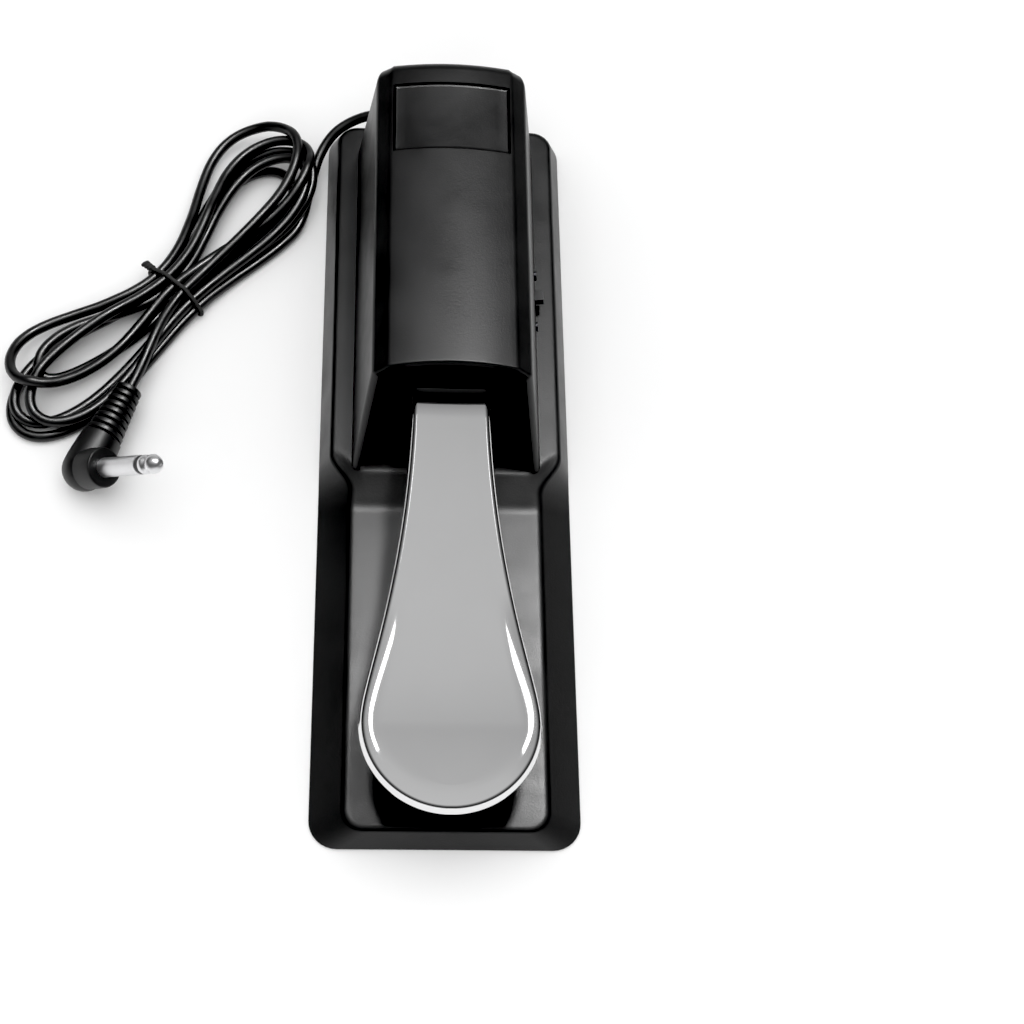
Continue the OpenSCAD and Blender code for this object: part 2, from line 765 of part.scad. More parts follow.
module plug_body() color([0.05, 0.05, 0.05])
    at_plug()
        difference() {
            union() {
                rotate([-90, 0, 0]) rotate_extrude() polygon(boot_profile());
                rotate([0, 90, 0]) cylinder(r = plug_r + 1.6, h = plug_root);
            }
            rotate([0, 90, 0]) cylinder(r = plug_stem_r, h = plug_root + 1);
            translate([0, 8, 0]) along_y(cable_r + slack, 40);
        }

// The bare sleeve, with a thinner stem inside the moulded body
module plug_sleeve() color([0.8, 0.8, 0.82])
    at_plug() rotate([0, 90, 0]) {
        cylinder(r = plug_stem_r, h = plug_root + 1);
        translate([0, 0, plug_root]) cylinder(r = plug_r, h = plug_sleeve_l);
    }

module plug_insulator() color([0.03, 0.03, 0.03])
    at_plug() translate([plug_root + plug_sleeve_l, 0, 0]) rotate([0, 90, 0])
        cylinder(r = plug_ring_r, h = plug_insulator_l);

module plug_tip() color([0.8, 0.8, 0.82])
    at_plug() translate([plug_root + plug_sleeve_l + plug_insulator_l, 0, 0])
        rotate([0, 90, 0]) rotate_extrude()
            polygon([[0, 0], [plug_ring_r, 0], [plug_ring_r, 1.8], [2.2, 2.4], [2.2, 3],
                     [plug_ring_r, 4.4], [plug_ring_r - 0.2, 5.4], [1.1, 8], [0, 8.2]]);

base();
bottom_plate();
rubber_sole();
plate_screws();
housing();
front_panel();
housing_screws();
pedal();
pivot_sleeve();
sleeve_bushes();
pivot_shaft();
shaft_clips();
pivot_bracket();
bracket_screws();
return_spring();
spring_cup();
travel_bumper();
rest_bumper();
microswitch_body();
microswitch_plunger();
microswitch_lever();
microswitch_terminals();
microswitch_bracket();
microswitch_screws();
polarity_body();
polarity_frame();
polarity_knob();
polarity_screws();
polarity_terminals();
lead_wires();
cable_grommet();
cable_clamp();
clamp_screws();
cable();
cable_tie();
plug_body();
plug_sleeve();
plug_insulator();
plug_tip();
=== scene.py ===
"""Looks for the sustain pedal: smooth shells, a polished lever, a glossy cable and a moulded plug.

Points are built in millimetres, in the frame of the CAD model: +X right, +Y rear, +Z up, and the
origin on the floor under the middle of the base. They are turned into metres as each mesh is made.
Lights, the floor and the camera are placed in metres.
"""

import math

import bmesh
import bpy
from mathutils import Matrix, Vector, kdtree


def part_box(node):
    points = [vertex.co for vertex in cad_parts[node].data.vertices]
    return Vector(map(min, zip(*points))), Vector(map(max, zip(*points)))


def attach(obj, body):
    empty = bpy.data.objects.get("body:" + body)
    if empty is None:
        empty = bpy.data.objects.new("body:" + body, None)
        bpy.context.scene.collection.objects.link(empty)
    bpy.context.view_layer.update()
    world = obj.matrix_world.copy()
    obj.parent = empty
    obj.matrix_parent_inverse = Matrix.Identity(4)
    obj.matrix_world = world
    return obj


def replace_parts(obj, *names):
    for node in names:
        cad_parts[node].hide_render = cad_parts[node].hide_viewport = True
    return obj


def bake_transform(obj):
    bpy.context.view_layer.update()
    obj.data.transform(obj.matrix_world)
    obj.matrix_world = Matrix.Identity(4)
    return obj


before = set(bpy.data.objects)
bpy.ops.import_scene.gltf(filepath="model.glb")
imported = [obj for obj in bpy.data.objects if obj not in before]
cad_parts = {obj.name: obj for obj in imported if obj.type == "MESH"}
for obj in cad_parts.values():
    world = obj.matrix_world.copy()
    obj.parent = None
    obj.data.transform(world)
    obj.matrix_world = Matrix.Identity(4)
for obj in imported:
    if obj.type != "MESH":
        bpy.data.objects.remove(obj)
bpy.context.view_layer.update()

MM = 0.001


def corners(node):
    """Lowest and highest corners of a CAD node at rest, in millimetres to a thousandth."""
    return [[round(value / MM, 3) for value in corner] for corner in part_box(node)]


def centre(node):
    """The middle of a CAD node's box, in millimetres to a thousandth."""
    return [round((low + high) / 2, 3) for low, high in zip(*corners(node))]


BASE_LOW, BASE_HIGH = corners("base")
SOLE_HIGH = corners("rubber_sole")[1]
HOUSING_LOW, HOUSING_HIGH = corners("housing")
PEDAL_LOW, PEDAL_HIGH = corners("pedal")
GROMMET = centre("cable_grommet")

# Base
BASE_HALF_W = BASE_HIGH[0]
BASE_HALF_L = BASE_HIGH[1]
BASE_CORNER = 9.0
BASE_FOOT_Z = BASE_LOW[2]
PLATEAU_Z = 10.0
PLATEAU_HALF_W = 31.0
LEDGE_Z = HOUSING_LOW[2]
LEDGE_HALF_W = 38.0
LEDGE_FALL = 0.06
TOP_FRONT_Y = -130.5
TOP_REAR_Y = 127.5
RAMP_TOP_Y = -11.5
RAMP_FOOT_Y = -23.0
RAMP_TOP_R = 0.7
RAMP_FOOT_R = 1.6
RAMP_SIDE_BACK = 8.5
DECK_CORNER = 6.5
DECK_EDGE_R = 1.5
FOOT_EDGE_R = 0.5
RECESS_GAP = 0.1
RECESS_HALF_W = SOLE_HIGH[0] + RECESS_GAP
RECESS_HALF_L = SOLE_HIGH[1] + RECESS_GAP
RECESS_CORNER = 6.1
RECESS_TOP_Z = corners("bottom_plate")[1][2]

# Housing
FOOT_HALF_W = HOUSING_HIGH[0]
SHOULDER_HALF_W = 25.0
SHOULDER_Z = 57.0
CROWN_HALF_W = 20.25
CROWN_EDGE_Z = 60.5
CROWN_Z = HOUSING_HIGH[2]
WALL = 2.5
FACE_FRONT_Y = -11.3
FACE_REAR_Y = HOUSING_HIGH[1]
# How far each end face leans back or forwards per millimetre of height
FRONT_LEAN = -FACE_FRONT_Y / (SHOULDER_Z - LEDGE_Z)
REAR_LEAN = 3.0 / (SHOULDER_Z - LEDGE_Z)

# Lever
LEVER_Z = PEDAL_HIGH[2]
LEVER_T = 3.0
TAIL_Y = PEDAL_HIGH[1]
FOLD_Y = -7.0
LEVEL_Y = -90.0
PAD_Z = PEDAL_LOW[2] + LEVER_T
PAD_R = PEDAL_HIGH[0]
PAD_Y = PEDAL_LOW[1] + PAD_R
NECK_HALF_W = 12.5
NECK_END_Y = -3.0
FOLD_R = 2.6
LEVEL_R = 20.0
RIM_DEPTH = 1.5
SOFT_EDGE = 7.5
ROLL_IN = 2.1
ROLL_DEPTH = 1.3
FLARE = 0.55

# Cable, tie and plug
CABLE_R = 1.8
OUTLET = Vector((GROMMET[0], FACE_REAR_Y - 1.0, GROMMET[2]))
TIE_XY = Vector((-93.4, 62.2))
BUNDLE_ANGLE = math.radians(50.3)
PLUG_AT = Vector((-118.0, -10.0, 8.3))
PLUG_TURN = math.radians(-22)
PLUG_LIFT = math.radians(42)
BOOT_LENGTH = 33.0


# ---- small helpers ----

def mix(a, b, t):
    """The value a share t of the way from a to b."""
    return a + (b - a) * t


def smooth(t):
    """0 below 0, 1 above 1, and an even S curve between."""
    t = min(max(t, 0.0), 1.0)
    return t * t * (3 - 2 * t)


def bezier(points, t):
    """The point at t on a Bezier curve with any number of control points."""
    while len(points) > 1:
        points = [mix(a, b, t) for a, b in zip(points, points[1:])]
    return points[0]


def rounded_knee(distance, blend):
    """0 before a knee and the distance past it after, with the corner rounded over +-blend."""
    if distance <= -blend:
        return 0.0
    if distance >= blend:
        return distance
    return (distance + blend) ** 2 / (4 * blend)


def steps(first, last, count):
    """count + 1 even steps from first to last."""
    return [mix(first, last, i / count) for i in range(count + 1)]


def circle(count):
    """The angles of count points round a circle."""
    return [2 * math.pi * k / count for k in range(count)]


def value_at(value, *place):
    """A number as it is, or a function's value at a place."""
    return value(*place) if callable(value) else value


class Shell:
    """Points and faces of one mesh, added ring by ring."""

    def __init__(self):
        self.points = []
        self.faces = []

    def ring(self, points):
        """Adds points and returns their numbers."""
        first = len(self.points)
        self.points.extend(Vector(p) for p in points)
        return list(range(first, first + len(points)))

    def band(self, a, b, closed=True):
        """Faces between two rings, or between two open rows."""
        last = len(a) if closed else len(a) - 1
        for k in range(last):
            n = (k + 1) % len(a)
            self.faces.append((a[k], a[n], b[n], b[k]))

    def grid(self, rows, hole=None):
        """Faces between rows of equal length, apart from the cells that hole(row, column) names."""
        for r in range(len(rows) - 1):
            for c in range(len(rows[r]) - 1):
                if hole is None or not hole(r, c):
                    self.faces.append((rows[r][c], rows[r][c + 1], rows[r + 1][c + 1], rows[r + 1][c]))

    def cap(self, ring):
        """One face over a whole ring."""
        self.faces.append(tuple(ring))

    def cap_in_rows(self, ring, cuts):
        """Closes a ring with rows of faces, each from a point of its first half to the one opposite."""
        rows = []
        for start, end in zip(ring[:len(ring) // 2], reversed(ring)):
            a, b = self.points[start], self.points[end]
            between_ends = self.ring([mix(a, b, u) for u in steps(0, 1, cuts)[1:-1]])
            rows.append([start] + between_ends + [end])
        self.grid(rows)


def make_piece(name, shell, look, body, sharp=40, even_normals=True):
    """A mesh object from a shell, in metres. It rides on the CAD body, if one is given."""
    mesh = bpy.data.meshes.new(name)
    mesh.from_pydata([p * MM for p in shell.points], [], shell.faces)
    bm = bmesh.new()
    bm.from_mesh(mesh)
    bmesh.ops.remove_doubles(bm, verts=bm.verts, dist=1e-6)
    bmesh.ops.recalc_face_normals(bm, faces=bm.faces)
    bm.to_mesh(mesh)
    bm.free()
    mesh.shade_smooth()
    mesh.set_sharp_from_angle(angle=math.radians(sharp))
    mesh.materials.append(look)
    piece = bpy.data.objects.new(name, mesh)
    bpy.context.scene.collection.objects.link(piece)
    if even_normals:
        even = piece.modifiers.new("even_normals", "WEIGHTED_NORMAL")
        even.keep_sharp = True
    if body:
        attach(piece, body)
    return piece


def tube(shell, path, radius, sides, closed=False):
    """A round tube along a path, with its rings kept from twisting."""
    count = len(path)
    rings = []
    side = None
    for i, at in enumerate(path):
        if closed:
            ahead = (path[(i + 1) % count] - path[i - 1]).normalized()
        else:
            ahead = (path[min(i + 1, count - 1)] - path[max(i - 1, 0)]).normalized()
        if side is None:
            side = ahead.orthogonal().normalized()
        side = (side - ahead * side.dot(ahead)).normalized()
        other = ahead.cross(side)
        rings.append(shell.ring([at + radius * (math.cos(a) * side + math.sin(a) * other)
                                 for a in circle(sides)]))
    for a, b in zip(rings, rings[1:]):
        shell.band(a, b)
    if closed:
        shell.band(rings[-1], rings[0])
    else:
        shell.cap(rings[0])
        shell.cap(rings[-1])


def even_path(points, step):
    """A Catmull-Rom curve through the points, cut into pieces of about one step."""
    path = []
    for i in range(len(points) - 1):
        p0 = points[max(i - 1, 0)]
        p1 = points[i]
        p2 = points[i + 1]
        p3 = points[min(i + 2, len(points) - 1)]
        cuts = max(1, round((p2 - p1).length / step))
        for k in range(cuts):
            t = k / cuts
            path.append(0.5 * (2 * p1 + (p2 - p0) * t + (2 * p0 - 5 * p1 + 4 * p2 - p3) * t * t
                               + (3 * p1 - p0 - 3 * p2 + p3) * t ** 3))
    path.append(points[-1])
    return path


def revolve(shell, profile, matrix, sides):
    """Turns a profile of (radius, height) points about the matrix's Z axis; its ends are closed."""
    rings = []
    for radius, height in profile:
        rings.append(shell.ring([matrix @ Vector((radius * math.cos(a), radius * math.sin(a), height))
                                 for a in circle(sides)]))
    for a, b in zip(rings, rings[1:]):
        shell.band(a, b)
    shell.cap(rings[0])
    shell.cap(rings[-1])


# ---- materials ----

class Tree:
    """A node tree, and short ways to add to it."""

    def __init__(self, tree):
        self.tree = tree

    def add(self, kind, **values):
        """A node with some of its properties and inputs set."""
        node = self.tree.nodes.new(kind)
        for key, value in values.items():
            if hasattr(node, key):
                setattr(node, key, value)
            else:
                node.inputs[key].default_value = value
        return node

    def link(self, source, target):
        """Joins an output to an input."""
        self.tree.links.new(source, target)

    def to_range(self, source, low, high, source_low=0.3, source_high=0.7):
        """The source's range turned into low to high, and held there."""
        node = self.add("ShaderNodeMapRange")
        for key, value in (("From Min", source_low), ("From Max", source_high),
                           ("To Min", low), ("To Max", high)):
            node.inputs[key].default_value = value
        self.link(source, node.inputs["Value"])
        return node.outputs["Result"]

    def calc(self, operation, a, b):
        """A sum or product of two outputs, or of an output and a number."""
        node = self.add("ShaderNodeMath", operation=operation)
        self.link(a, node.inputs[0])
        if isinstance(b, float):
            node.inputs[1].default_value = b
        else:
            self.link(b, node.inputs[1])
        return node.outputs["Value"]


class Nodes(Tree):
    """A new material with a Principled shader and object coordinates in metres."""

    def __init__(self, name):
        self.material = bpy.data.materials.new(name)
        self.material.use_nodes = True
        super().__init__(self.material.node_tree)
        self.shader = self.tree.nodes["Principled BSDF"]
        self.place = self.add("ShaderNodeTexCoord").outputs["Object"]

    def noise(self, scale, detail=3.0, stretch=None):
        """A noise of so many waves to the metre, drawn out along an axis where stretch is small."""
        texture = self.add("ShaderNodeTexNoise", Scale=scale, Detail=detail, Roughness=0.55)
        place = self.place
        if stretch is not None:
            mapping = self.add("ShaderNodeMapping", Scale=stretch)
            self.link(place, mapping.inputs["Vector"])
            place = mapping.outputs["Vector"]
        self.link(place, texture.inputs["Vector"])
        return texture.outputs["Fac"]

    def blend(self, factor, a, b):
        """A colour between a and b; a is a colour or another node's output."""
        node = self.add("ShaderNodeMix", data_type="RGBA")
        self.link(factor, node.inputs["Factor"])
        if isinstance(a, tuple):
            node.inputs["A"].default_value = (*a, 1)
        else:
            self.link(a, node.inputs["A"])
        node.inputs["B"].default_value = (*b, 1)
        return node.outputs["Result"]

    def bump(self, height, distance, under=None):
        """Normals for a relief so many metres deep, laid over another one if it is given."""
        node = self.add("ShaderNodeBump", Strength=1.0, Distance=distance)
        self.link(height, node.inputs["Height"])
        if under is not None:
            self.link(under, node.inputs["Normal"])
        return node.outputs["Normal"]

    def set(self, key, value):
        """Sets an input of the Principled shader to a number or to another node's output."""
        if isinstance(value, (int, float)):
            self.shader.inputs[key].default_value = value
        else:
            self.link(value, self.shader.inputs[key])


def moulded(name, colour, rough, grain=0.00003, sheen=0.5, edge_highlight=0.0):
    """Moulded plastic: a fine spark grain, uneven gloss, and a painted highlight that makes convex edges a
    little lighter.
    """
    n = Nodes(name)
    light = tuple(min(1.0, c * 1.4 + 0.0004) for c in colour)
    blotch = n.to_range(n.noise(22.0, 4.0), 0.0, 1.0)
    body = n.blend(blotch, colour, light)
    if edge_highlight > 0:
        # Painted highlight: convex edges, found by their pointiness, are made lighter than the plastic
        edge = n.to_range(n.add("ShaderNodeNewGeometry").outputs["Pointiness"], 0.0, edge_highlight, 0.52, 0.6)
        edge_highlight_colour = tuple(min(1.0, c * 3 + 0.004) for c in colour)
        body = n.blend(edge, body, edge_highlight_colour)
    n.set("Base Color", body)
    n.set("Roughness", n.to_range(n.noise(60.0, 5.0), rough - 0.05, rough + 0.06))
    n.set("Specular IOR Level", sheen)
    coarse = n.bump(n.noise(1500.0, 2.0), grain)
    n.set("Normal", n.bump(n.noise(4200.0, 1.0), grain * 0.5, under=coarse))
    return n.material


def metal(name, colour, rough, grain=0.000004, stretch=(1, 1, 1), smudge=0.04, patchy=0.85):
    """Bare or plated metal with faint smudges and a drawn or tumbled grain."""
    n = Nodes(name)
    dull = tuple(c * patchy for c in colour)
    n.set("Metallic", 1.0)
    n.set("Base Color", n.blend(n.to_range(n.noise(35.0, 4.0), 0.0, 1.0), colour, dull))
    n.set("Roughness", n.to_range(n.noise(90.0, 6.0), rough, rough + smudge))
    n.set("Normal", n.bump(n.noise(900.0, 3.0, stretch=stretch), grain))
    return n.material


def rubber(name, colour):
    """Dull rubber with a fine pebble."""
    n = Nodes(name)
    chalky = tuple(c * 1.8 for c in colour)
    n.set("Base Color", n.blend(n.to_range(n.noise(40.0), 0.0, 1.0), colour, chalky))
    n.set("Roughness", n.to_range(n.noise(200.0), 0.75, 0.9))
    n.set("Normal", n.bump(n.noise(2500.0, 2.0), 0.00006))
    return n.material


def glossy_jacket(name, colour, rough, drawn=0.00001):
    """Extruded PVC: smooth and glossy, with slow waves and light dust."""
    n = Nodes(name)
    dusty = tuple(c * 2.2 + 0.001 for c in colour)
    n.set("Base Color", n.blend(n.to_range(n.noise(120.0, 4.0), 0.0, 1.0, 0.45, 0.8), colour, dusty))
    n.set("Roughness", n.to_range(n.noise(150.0, 4.0), rough, rough + 0.14))
    n.set("Specular IOR Level", 0.55)
    slow = n.bump(n.noise(160.0, 2.0), drawn * 4)
    n.set("Normal", n.bump(n.noise(3000.0, 2.0), drawn, under=slow))
    return n.material


# The shell's convex edges carry a painted highlight
SHELL = moulded("shell_plastic", (0.0022, 0.0022, 0.0024), rough=0.36, sheen=0.36, edge_highlight=0.25)
PANEL = moulded("panel_plastic", (0.001, 0.001, 0.001), rough=0.5, sheen=0.15)
CHROME = metal("chrome", (0.80, 0.80, 0.805), 0.03, grain=0.0000002, smudge=0.02, patchy=0.97)
ZINC = metal("plated_steel", (0.62, 0.63, 0.65), 0.28, grain=0.000006)
SPRING = metal("spring_steel", (0.52, 0.52, 0.53), 0.22, grain=0.000004, stretch=(0.2, 0.2, 3))
DARK_STEEL = metal("dark_steel", (0.06, 0.06, 0.065), 0.35, grain=0.000005)
PLUG_METAL = metal("plug_metal", (0.80, 0.80, 0.81), 0.3, grain=0.0000015, smudge=0.08)
BRASS = metal("contact_metal", (0.72, 0.62, 0.36), 0.25)
RUBBER = rubber("rubber", (0.012, 0.012, 0.012))
NYLON = moulded("nylon", (0.62, 0.60, 0.52), rough=0.4, grain=0.00001)
SWITCH = moulded("switch_plastic", (0.012, 0.012, 0.013), rough=0.36, grain=0.00001)
PLUNGER = moulded("plunger_plastic", (0.35, 0.03, 0.02), rough=0.3, grain=0.000005)
WIRE = glossy_jacket("wire_insulation", (0.28, 0.02, 0.015), rough=0.3)
CABLE = glossy_jacket("cable_jacket", (0.002, 0.002, 0.0022), rough=0.3, drawn=0.000003)
PLUG_PLASTIC = moulded("plug_plastic", (0.002, 0.002, 0.0022), rough=0.42, grain=0.00001)

NODE_LOOKS = {
    PANEL: ["front_panel"],
    ZINC: ["bottom_plate", "plate_screws", "housing_screws", "bracket_screws", "pivot_sleeve",
           "pivot_bracket", "microswitch_bracket", "microswitch_screws", "microswitch_lever",
           "polarity_frame", "clamp_screws", "pivot_shaft"],
    DARK_STEEL: ["shaft_clips", "polarity_screws"],
    BRASS: ["microswitch_terminals", "polarity_terminals"],
    RUBBER: ["rubber_sole", "travel_bumper", "rest_bumper", "cable_grommet"],
    NYLON: ["sleeve_bushes", "spring_cup"],
    SWITCH: ["microswitch_body", "polarity_body", "polarity_knob", "cable_clamp", "plug_insulator"],
    PLUNGER: ["microswitch_plunger"],
    WIRE: ["lead_wires"],
}


def dress_nodes():
    """Gives every CAD node that stays its finish."""
    for look, names in NODE_LOOKS.items():
        for name in names:
            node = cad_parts[name]
            node.data.materials.clear()
            node.data.materials.append(look)


# ---- base ----

def deck_z(x, y):
    """Height of the deck: a plateau in front, a ramp, and the ledge round the housing."""
    # The ramp starts further back beside the housing than in front of it
    start = RAMP_TOP_Y + RAMP_SIDE_BACK * smooth((abs(x) - PLATEAU_HALF_W + 5) / 12)
    slope = (LEDGE_Z - PLATEAU_Z) / (start - RAMP_FOOT_Y)
    down = rounded_knee(start - y, RAMP_TOP_R) - rounded_knee(RAMP_FOOT_Y - y, RAMP_FOOT_R)
    fall = LEDGE_FALL * max(abs(x) - FOOT_HALF_W, 0.0)
    return LEDGE_Z - slope * down - fall


def deck_half_w(y):
    """Half width of the deck: wide round the housing, narrow at the front."""
    return mix(PLATEAU_HALF_W, LEDGE_HALF_W, smooth((y + 18) / 13))


def outline_row(row, half_w, front_y, rear_y, corner):
    """Half width and y of one row of a rounded rectangle; half_w is a number or a function of y."""
    part, t = row
    if part == "side":
        y = mix(front_y + corner, rear_y - corner, t)
        return value_at(half_w, y), y
    a = t * math.pi / 2
    from_end = corner * (1 - math.cos(a))
    y = front_y + from_end if part == "front" else rear_y - from_end
    return value_at(half_w, y) - corner * (1 - math.sin(a)), y


def base_rows():
    """Rows of the deck's grid, close together on the ramp."""
    low = TOP_FRONT_Y + 5
    high = TOP_REAR_Y - 8
    ramp = steps(-29, 1, 44)
    ys = steps(low, -30, 12) + ramp + steps(8, high, 12)
    return ([("front", t) for t in steps(0, 1, 8)][:-1]
            + [("side", (y - low) / (high - low)) for y in ys]
            + [("rear", t) for t in steps(1, 0, 8)][1:])


def outline_loop(rows, across, half_w, front_y, rear_y, corner, height):
    """A closed loop round the rows' ends; height is a number or a function of x and y."""
    ends = [outline_row(row, half_w, front_y, rear_y, corner) for row in rows]
    first, last = ends[0], ends[-1]
    loop = [(first[0] * u, first[1]) for u in across]
    loop += ends[1:-1]
    loop += [(last[0] * u, last[1]) for u in reversed(across)]
    loop += [(-w, y) for w, y in reversed(ends[1:-1])]
    return [Vector((x, y, value_at(height, x, y))) for x, y in loop]


def build_base():
    """The base: deck, rounded edge, skirt, and the recess for the plate and the sole."""
    shell = Shell()
    rows = base_rows()
    across = steps(-1, 1, 56)

    def inner_half_w(y):
        return deck_half_w(y) - DECK_EDGE_R

    grid = []
    for row in rows:
        w, y = outline_row(row, inner_half_w, TOP_FRONT_Y + DECK_EDGE_R, TOP_REAR_Y - DECK_EDGE_R,
                           DECK_CORNER - DECK_EDGE_R)
        grid.append(shell.ring([(w * u, y, deck_z(w * u, y)) for u in across]))
    shell.grid(grid)
    rim = grid[0] + [r[-1] for r in grid[1:-1]] + grid[-1][::-1] + [r[0] for r in grid[-2:0:-1]]

    # From the deck round its edge and down the skirt
    start = [shell.points[i] for i in rim]
    edge = outline_loop(rows, across, deck_half_w, TOP_FRONT_Y, TOP_REAR_Y, DECK_CORNER, deck_z)
    foot = outline_loop(rows, across, BASE_HALF_W, -BASE_HALF_L, BASE_HALF_L, BASE_CORNER, BASE_FOOT_Z)
    turned = [e + (f - e).normalized() * DECK_EDGE_R for e, f in zip(edge, foot)]
    last = rim
    for t in (0.2, 0.4, 0.6, 0.8, 1.0):
        ring = shell.ring([bezier([s, e, c], t) for s, e, c in zip(start, edge, turned)])
        shell.band(last, ring)
        last = ring
    # Round the skirt's foot and under it
    lip = [f + (c - f).normalized() * FOOT_EDGE_R for f, c in zip(foot, turned)]
    under = outline_loop(rows, across, BASE_HALF_W - FOOT_EDGE_R, -BASE_HALF_L + FOOT_EDGE_R,
                         BASE_HALF_L - FOOT_EDGE_R, BASE_CORNER - FOOT_EDGE_R, BASE_FOOT_Z)
    for t in (0.0, 0.5, 1.0):
        ring = shell.ring([bezier([a, f, u], t) for a, f, u in zip(lip, foot, under)])
        shell.band(last, ring)
        last = ring
    for z in (BASE_FOOT_Z, RECESS_TOP_Z):
        ring = shell.ring(outline_loop(rows, across, RECESS_HALF_W, -RECESS_HALF_L, RECESS_HALF_L,
                                       RECESS_CORNER, z))
        shell.band(last, ring)
        last = ring
    shell.cap(last)
    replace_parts(make_piece("base_shell", shell, SHELL, "base_unit"), "base")


def post_profile(radius, low_z, high_z):
    """A round post with a flared foot and a chamfered top."""
    return [(radius + 1.2, low_z), (radius + 0.5, low_z + 0.3), (radius, low_z + 1.2),
            (radius * 0.97, high_z - 0.5), (radius * 0.97 - 0.5, high_z)]


def build_posts():
    """Posts inside the housing: one under the rest bumper and four for the housing's screws."""
    shell = Shell()
    post_r = 6.0
    post_y = centre("rest_bumper")[1]
    post_top = corners("rest_bumper")[0][2]
    revolve(shell, post_profile(post_r, LEDGE_Z, post_top), Matrix.Translation((0, post_y, 0)), 40)
    make_piece("bumper_post", shell, SHELL, "base_unit")
    shell = Shell()
    boss_r, boss_h = 3.3, 13
    for x in (-23.5, 23.5):
        for y in (5, 110):
            boss = post_profile(boss_r, LEDGE_Z, LEDGE_Z + boss_h)
            revolve(shell, boss, Matrix.Translation((x, y, 0)), 32)
    make_piece("housing_bosses", shell, SHELL, "base_unit")


def build_clamp_block():
    """The chamfered block that the cable clamp stands on."""
    shell = Shell()
    clamp_low, clamp_high = corners("cable_clamp")
    ledge, chamfer = 1.0, 0.4
    low = Vector((clamp_low[0], clamp_low[1] - ledge, LEDGE_Z - 0.05))
    high = Vector((clamp_high[0], clamp_high[1] + ledge, clamp_low[2]))
    last = None
    for z, inset in ((low.z, 0.0), (high.z - chamfer, 0.0), (high.z, chamfer)):
        ring = shell.ring([(low.x + inset, low.y + inset, z), (high.x - inset, low.y + inset, z),
                           (high.x - inset, high.y - inset, z), (low.x + inset, high.y - inset, z)])
        if last is None:
            shell.cap(ring)
        else:
            shell.band(last, ring)
        last = ring
    shell.cap(last)
    make_piece("clamp_block", shell, SHELL, "base_unit", sharp=20)


# ---- housing ----

POLARITY_Y = centre("polarity_frame")[1]
WINDOW_Y = (POLARITY_Y - 3.8, POLARITY_Y + 3.8)
WINDOW_Z = (17.96, 21.92)
LABEL_Y = (82.5, 109.0)
LABEL_HALF_W = 19.0
LABEL_DEPTH = 0.7
LABEL_STEP = 0.4
# Distance from the recess's side to the crest of its bead, and to where the bead ends
LABEL_BEAD = 0.5
LABEL_FLOOR = 1.1
LABEL_BEAD_H = 0.35
LABEL_STEPS = (-LABEL_STEP, 0.0, LABEL_BEAD, LABEL_FLOOR)
WALL_ZS = [LEDGE_Z, LEDGE_Z + 0.3, LEDGE_Z + 1.0, *WINDOW_Z, 30.0, 40.0, 50.0]
WALL_YS = [5.0, 20.0, 35.0, *WINDOW_Y, 70.0]
LABEL_MID_Y = 95.0


def crown_z(x):
    """Height of the housing's arched top."""
    return CROWN_Z - (CROWN_Z - CROWN_EDGE_Z) * (x / CROWN_HALF_W) ** 2


def label_drop(x, from_end):
    """Depth of the label recess at x, so far from its nearer end; a slim bead runs round its floor."""
    near = 0.01
    inside = min(LABEL_HALF_W - abs(x), from_end)
    if inside < -near:
        return 0.0
    if abs(inside - LABEL_BEAD) < near:
        return LABEL_DEPTH - LABEL_BEAD_H
    return LABEL_DEPTH


def fillet(before, corner, after, radius, count):
    """Points that round a corner between two straight or nearly straight runs."""
    a = corner + (before - corner).normalized() * radius
    b = corner + (after - corner).normalized() * radius
    return [bezier([a, corner, b], t) for t in steps(0, 1, count)]


def arch():
    """Right half of the housing's section, from foot to crown: (x, z, how far x and z move inwards)."""
    foot = Vector((FOOT_HALF_W, LEDGE_Z))
    shoulder = Vector((SHOULDER_HALF_W, SHOULDER_Z))
    edge = Vector((CROWN_HALF_W, CROWN_EDGE_Z))
    inner = Vector((CROWN_HALF_W - 0.9, crown_z(CROWN_HALF_W - 0.9)))
    points = [(mix(foot.x, shoulder.x, (z - LEDGE_Z) / (SHOULDER_Z - LEDGE_Z)), z, 1.0, 0.0)
              for z in WALL_ZS]
    foot_chamfer = 0.35
    points[0] = (points[0][0] - foot_chamfer, points[0][1], 1.0, 0.0)
    for i, p in enumerate(fillet(foot, shoulder, edge, 1.0, 4)):
        points.append((p.x, p.y, mix(1.0, 0.72, i / 4), mix(0.0, 0.72, i / 4)))
    for i, p in enumerate(fillet(shoulder, edge, inner, 0.8, 4)):
        points.append((p.x, p.y, mix(0.6, 0.12, i / 4), mix(0.8, 1.0, i / 4)))
    label_xs = [LABEL_HALF_W - step for step in LABEL_STEPS]
    for x in label_xs + [15, 12, 9, 6, 3, 0]:
        points.append((x, crown_z(x), 0.0, 1.0))
    return points


def face_y(z, front):
    """y of the leaning front or rear face at height z."""
    if front:
        return FACE_FRONT_Y + (z - LEDGE_Z) * FRONT_LEAN
    return FACE_REAR_Y - (z - LEDGE_Z) * REAR_LEAN


def corner_r(dz, front):
    """Radius of the round between a wall or the crown and the front or rear face."""
    return mix(2.1, 0.7, dz) if front else mix(8.0, 5.0, dz)


